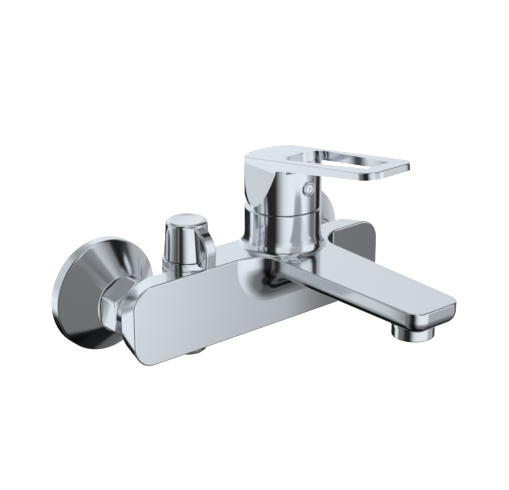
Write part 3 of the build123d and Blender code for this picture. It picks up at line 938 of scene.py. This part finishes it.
@dataclass
class WallFitting:
    """One wall connection: eccentric union, conical flange, union nut and inlet tail. Sizes in mm."""

    side: str
    drop: float = 6.0
    stub_r: float = 10.48
    pitch: float = 1.814
    thread_depth: float = 1.05
    flange_r: float = 34.5
    flange_front: float = -24.0
    nut_flats: float = 32.0
    nut_rear: float = -24.6
    nut_front: float = -39.5

    @property
    def x(self) -> float:
        """Where the fitting's axis is, from the frame."""
        low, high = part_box(f"escutcheon_{self.side}")
        return (low[0] + high[0]) / 2 / MM

    def flange(self, shop: Workshop) -> None:
        """The thin conical flange, rolled over at its rim."""
        outline = [
            (13.4, self.flange_front),
            (17.6, self.flange_front),
            (self.flange_r - 0.6, -7.9),
            (self.flange_r, -7.1),
            (self.flange_r, 0.0),
            (self.flange_r - 1.2, 0.0),
            (self.flange_r - 1.2, -6.7),
            (17.0, self.flange_front + 1.4),
            (13.4, self.flange_front + 1.4),
        ]
        piece = shop.turned(f"wall_flange_{self.side}", outline, (self.x, 0, 0), Axis.WALL, 0.45, 144)
        shop.smooth(piece)
        shop.fit(piece, CHROME, f"escutcheon_{self.side}")

    def nut(self, shop: Workshop) -> None:
        """The hexagonal union nut, chamfered at both ends, with slightly rounded corners."""
        rear, front = self.nut_rear, self.nut_front
        outline = [
            (13.1, rear),
            (16.2, rear),
            (16.6, rear),
            (17.2, rear - 0.45),
            (17.8, rear - 0.9),
            (18.6, rear - 1.5),
            (18.6, front + 1.85),
            (17.8, front + 1.35),
            (17.2, front + 0.95),
            (16.4, front + 0.5),
            (15.6, front),
            (10.6, front),
            (10.6, rear - 11.5),
            (13.1, rear - 11.5),
        ]
        half, corner_r = self.nut_flats / 2, 18.28

        def hexagon(reach: float, height: float, angle: float) -> float:
            """The lesser of a radius and the hexagon's own."""
            if reach < half - 1.0:
                return reach
            turn = (angle + math.pi / 6) % (math.pi / 3) - math.pi / 6
            return min(reach, half / math.cos(turn), corner_r)

        piece = shop.turned(
            f"coupling_nut_{self.side}", outline, (self.x, 0, 0), Axis.WALL, 0.25, 180, hexagon
        )
        shop.smooth(piece)
        shop.fit(piece, CHROME, f"union_nut_{self.side}")

    def tail(self, shop: Workshop) -> None:
        """The flanged inlet tail between the nut and the bar."""
        outline = [
            (7.4, -32.7),
            (12.6, -32.7),
            (12.6, -36.1),
            (10.4, -36.1),
            (10.4, -47.5),
            (9.0, -47.5),
            (9.0, -55.3),
            (7.4, -55.3),
        ]
        piece = shop.turned(f"inlet_bush_{self.side}", outline, (self.x, 0, 0), Axis.WALL, 0.25, 96)
        shop.smooth(piece)
        shop.fit(piece, CHROME, f"inlet_tail_{self.side}")

    def union(self, shop: Workshop) -> None:
        """The eccentric union, with its pipe thread on the wall side."""
        root = self.stub_r - self.thread_depth
        stations = [
            (16.0, 7.6, -self.drop),
            (16.0, root - 0.6, -self.drop),
            (15.3, root, -self.drop),
            (0.0, root, -self.drop),
            (0.0, self.stub_r, -self.drop),
            (-9.0, 12.6, 0.0),
            (-12.0, 12.6, 0.0),
            (-12.0, 13.1, 0.0),
            (-29.8, 13.1, 0.0),
            (-30.5, 12.4, 0.0),
            (-30.5, 9.4, 0.0),
            (-9.0, 9.4, 0.0),
            (0.0, 7.6, -self.drop),
        ]
        steps = 96
        rings = []
        for height, reach, middle in stations:
            ring = []
            for step in range(steps):
                angle = 2 * math.pi * step / steps
                across, up = reach * math.cos(angle), reach * math.sin(angle)
                ring.append(((self.x + across) * MM, height * MM, (middle + up) * MM))
            rings.append(ring)
        piece = shop.rings_to_object(f"eccentric_union_{self.side}", rings)
        shop.smooth(piece)
        length = 14.2
        shop.grow(
            piece,
            thread_tree(),
            Root_Radius=root * MM,
            Thread_Depth=self.thread_depth * MM,
            Turns=length / self.pitch,
            Length=length * MM,
            Start=(self.x * MM, 15.0 * MM, -self.drop * MM),
            Turn=(math.pi / 2, 0.0, 0.0),
            Material=BRASS.material(),
        )
        shop.fit(piece, BRASS, f"s_union_{self.side}")

    def build(self, shop: Workshop) -> None:
        """Builds and dresses the whole fitting."""
        self.union(shop)
        self.flange(shop)
        self.nut(shop)
        self.tail(shop)
        shop.dress_node(f"inlet_washer_{self.side}")


@dataclass
class Diverter:
    """The diverter valve with its knob, collar and the shower outlet. Sizes in mm."""

    place: Place = (-44.0, -46.0, 0.0)
    collar_r: float = 14.7
    outlet_r: float = 10.48
    outlet_bottom: float = -30.5
    body_bottom: float = -24.5
    pitch: float = 1.814
    thread_depth: float = 0.95

    def collar(self, shop: Workshop) -> None:
        """The collar that the knob turns on."""
        outline = [(9.2, 24.5), (self.collar_r, 24.5), (self.collar_r, 29.0), (9.2, 29.0)]
        piece = shop.turned("knob_collar", outline, self.place, Axis.UP, 0.6, 112)
        shop.smooth(piece)
        shop.fit(piece, CHROME, "diverter_collar")

    def outlet(self, shop: Workshop) -> None:
        """The threaded shower outlet below the bar."""
        root = self.outlet_r - self.thread_depth
        outline = [
            (6.2, self.outlet_bottom),
            (root - 0.5, self.outlet_bottom),
            (root, self.outlet_bottom + 0.6),
            (root, self.body_bottom - 0.8),
            (self.outlet_r, self.body_bottom - 0.4),
            (self.outlet_r, self.body_bottom),
            (8.48, self.body_bottom),
            (8.48, -15.5),
            (6.2, -15.5),
        ]
        piece = shop.turned("shower_outlet", outline, self.place, Axis.UP, 0.2, 96)
        shop.smooth(piece)
        length = 3.4
        shop.grow(
            piece,
            thread_tree(),
            Root_Radius=root * MM,
            Thread_Depth=self.thread_depth * MM,
            Turns=length / self.pitch,
            Length=length * MM,
            Start=(self.place[0] * MM, self.place[1] * MM, (self.outlet_bottom + 1.1) * MM),
            Turn=(0.0, 0.0, 0.0),
            Material=CHROME.material(),
        )
        shop.fit(piece, CHROME, "shower_outlet_nipple")

    def build(self, shop: Workshop) -> None:
        """Builds and dresses the valve."""
        self.collar(shop)
        self.outlet(shop)
        for part in ("knob", "headpart", "o_ring", "seat_disc", "spindle"):
            shop.dress_node(f"diverter_{part}")


@dataclass
class Aerator:
    """The aerator under the spout tip. Sizes in mm."""

    place: Place = (20.5, -167.0, 0.0)
    ring_r: float = 12.2
    bottom: float = 2.7
    top: float = 9.5

    def ring(self, shop: Workshop) -> None:
        """The chrome ring with its collar inside the spout."""
        outline = [
            (10.0, self.bottom),
            (self.ring_r - 0.2, self.bottom),
            (self.ring_r, self.bottom + 0.5),
            (self.ring_r, self.top),
            (10.2, self.top),
            (10.2, self.top + 3.5),
            (9.0, self.top + 3.5),
            (9.0, self.top),
            (10.0, self.top),
        ]
        piece = shop.turned("aerator_ring", outline, self.place, Axis.UP, 0.5, 128)
        shop.smooth(piece)
        shop.fit(piece, CHROME, "aerator_housing")

    def insert(self, shop: Workshop) -> None:
        """The jet former, perforated in rings and slightly crowned below."""
        lower = self.bottom + 0.8
        outline = [
            (0.0, lower),
            (7.9, lower + 0.1),
            (8.6, lower + 0.7),
            (9.3, lower + 0.7),
            (9.98, lower + 0.1),
            (9.98, self.top),
            (0.0, self.top),
        ]
        piece = shop.turned("aerator_jet", outline, self.place, Axis.UP, 0.15, 64)
        for count, ring in ((6, 1.9), (12, 3.8), (18, 5.6), (24, 7.2)):
            shop.grow(
                piece,
                hole_tree(),
                Count=count,
                Ring_Radius=ring * MM,
                Hole_Radius=0.68 * MM,
                Sides=10,
                Depth=20.0 * MM,
                Middle=(self.place[0] * MM, self.place[1] * MM, lower * MM),
                Material=GREY_PLASTIC.material(),
            )
        shop.smooth(piece)
        shop.fit(piece, GREY_PLASTIC, "aerator_insert")

    def build(self, shop: Workshop) -> None:
        """Builds and dresses the aerator."""
        self.ring(shop)
        self.insert(shop)
        shop.dress_node("aerator_washer")


@dataclass
class Lever:
    """The loop lever with its index plug. Sizes in mm."""

    place: Place = (20.5, -56.0, 64.3)

    def plug(self, shop: Workshop) -> None:
        """The round plug in the front of the skirt, with its seat for the button."""
        front = self.place[1] - 24.2
        outline = [
            (0.0, self.place[1] - 19.9),
            (4.6, self.place[1] - 19.9),
            (4.6, front + 0.6),
            (4.0, front),
            (3.1, front),
            (3.1, self.place[1] - 22.6),
            (0.0, self.place[1] - 22.6),
        ]
        piece = shop.turned("index_ring", outline, self.place, Axis.WALL, 0.3, 72)
        shop.smooth(piece)
        shop.fit(piece, CHROME, "index_plug")

    def button(self, shop: Workshop) -> None:
        """The domed button in the plug, with a dimple in its middle."""
        seat = self.place[1] - 22.6
        outline = [
            (0.0, seat),
            (3.05, seat),
            (3.05, seat - 0.6),
            (2.6, seat - 1.25),
            (1.7, seat - 1.68),
            (0.95, seat - 1.75),
            (0.85, seat - 0.35),
            (0.0, seat - 0.3),
        ]
        piece = shop.turned("index_dome", outline, self.place, Axis.WALL, 0.25, 64)
        shop.smooth(piece)
        shop.fit(piece, BUTTON, "index_button")

    def build(self, shop: Workshop) -> None:
        """Builds and dresses the lever."""
        self.plug(shop)
        self.button(shop)
        for node in ("lever_handle", "handle_set_screw", "lever_stem"):
            shop.dress_node(node)


@dataclass
class Cartridge:
    """The ceramic cartridge, its ring nut and the trim cap. Sizes in mm."""

    place: Place = (20.5, -56.0, 0.0)

    def cap(self, shop: Workshop) -> None:
        """The domed trim cap that shows when the lever is lifted."""
        outline = [
            (18.7, 45.0),
            (18.7, 49.4),
            (18.3, 50.6),
            (17.4, 51.6),
            (15.4, 52.9),
            (13.2, 54.0),
            (13.2, 52.8),
            (16.6, 50.6),
            (17.5, 49.0),
            (17.5, 45.0),
        ]
        piece = shop.turned("trim_cap", outline, self.place, Axis.UP, 0.4, 112)
        shop.smooth(piece)
        shop.fit(piece, CHROME, "dome_cap")

    def nut(self, shop: Workshop) -> None:
        """The ring nut, with six spanner notches in its top."""
        outline = [(13.6, 41.0), (18.9, 41.0), (18.9, 45.0), (13.6, 45.0)]
        piece = shop.turned("clamp_nut", outline, self.place, Axis.UP, 0.3, 96)
        shop.grow(
            piece,
            hole_tree(),
            Count=6,
            Ring_Radius=15.8 * MM,
            Hole_Radius=1.2 * MM,
            Sides=20,
            Depth=5.0 * MM,
            Middle=(self.place[0] * MM, self.place[1] * MM, 45.0 * MM),
            Material=BRASS.material(),
        )
        shop.smooth(piece)
        shop.fit(piece, BRASS, "ring_nut")

    def build(self, shop: Workshop) -> None:
        """Builds and dresses the cartridge."""
        self.cap(shop)
        self.nut(shop)
        for node in (
            "cartridge_base",
            "cartridge_port_seals",
            "ceramic_disc_fixed",
            "ceramic_disc_moving",
            "disc_carrier",
            "cartridge_rotor",
            "lever_pivot_pin",
            "cartridge_shell",
        ):
            shop.dress_node(node)


def main() -> None:
    """Builds the studio and every sub-assembly."""
    logging.basicConfig(level=logging.INFO, format="%(message)s")
    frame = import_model()
    Studio().build()
    shop = Workshop(frame)
    shop.dress_node("mixer_body")
    WallFitting("left").build(shop)
    WallFitting("right").build(shop)
    Cartridge().build(shop)
    Lever().build(shop)
    Diverter().build(shop)
    Aerator().build(shop)


if __name__ == "__main__":
    main()
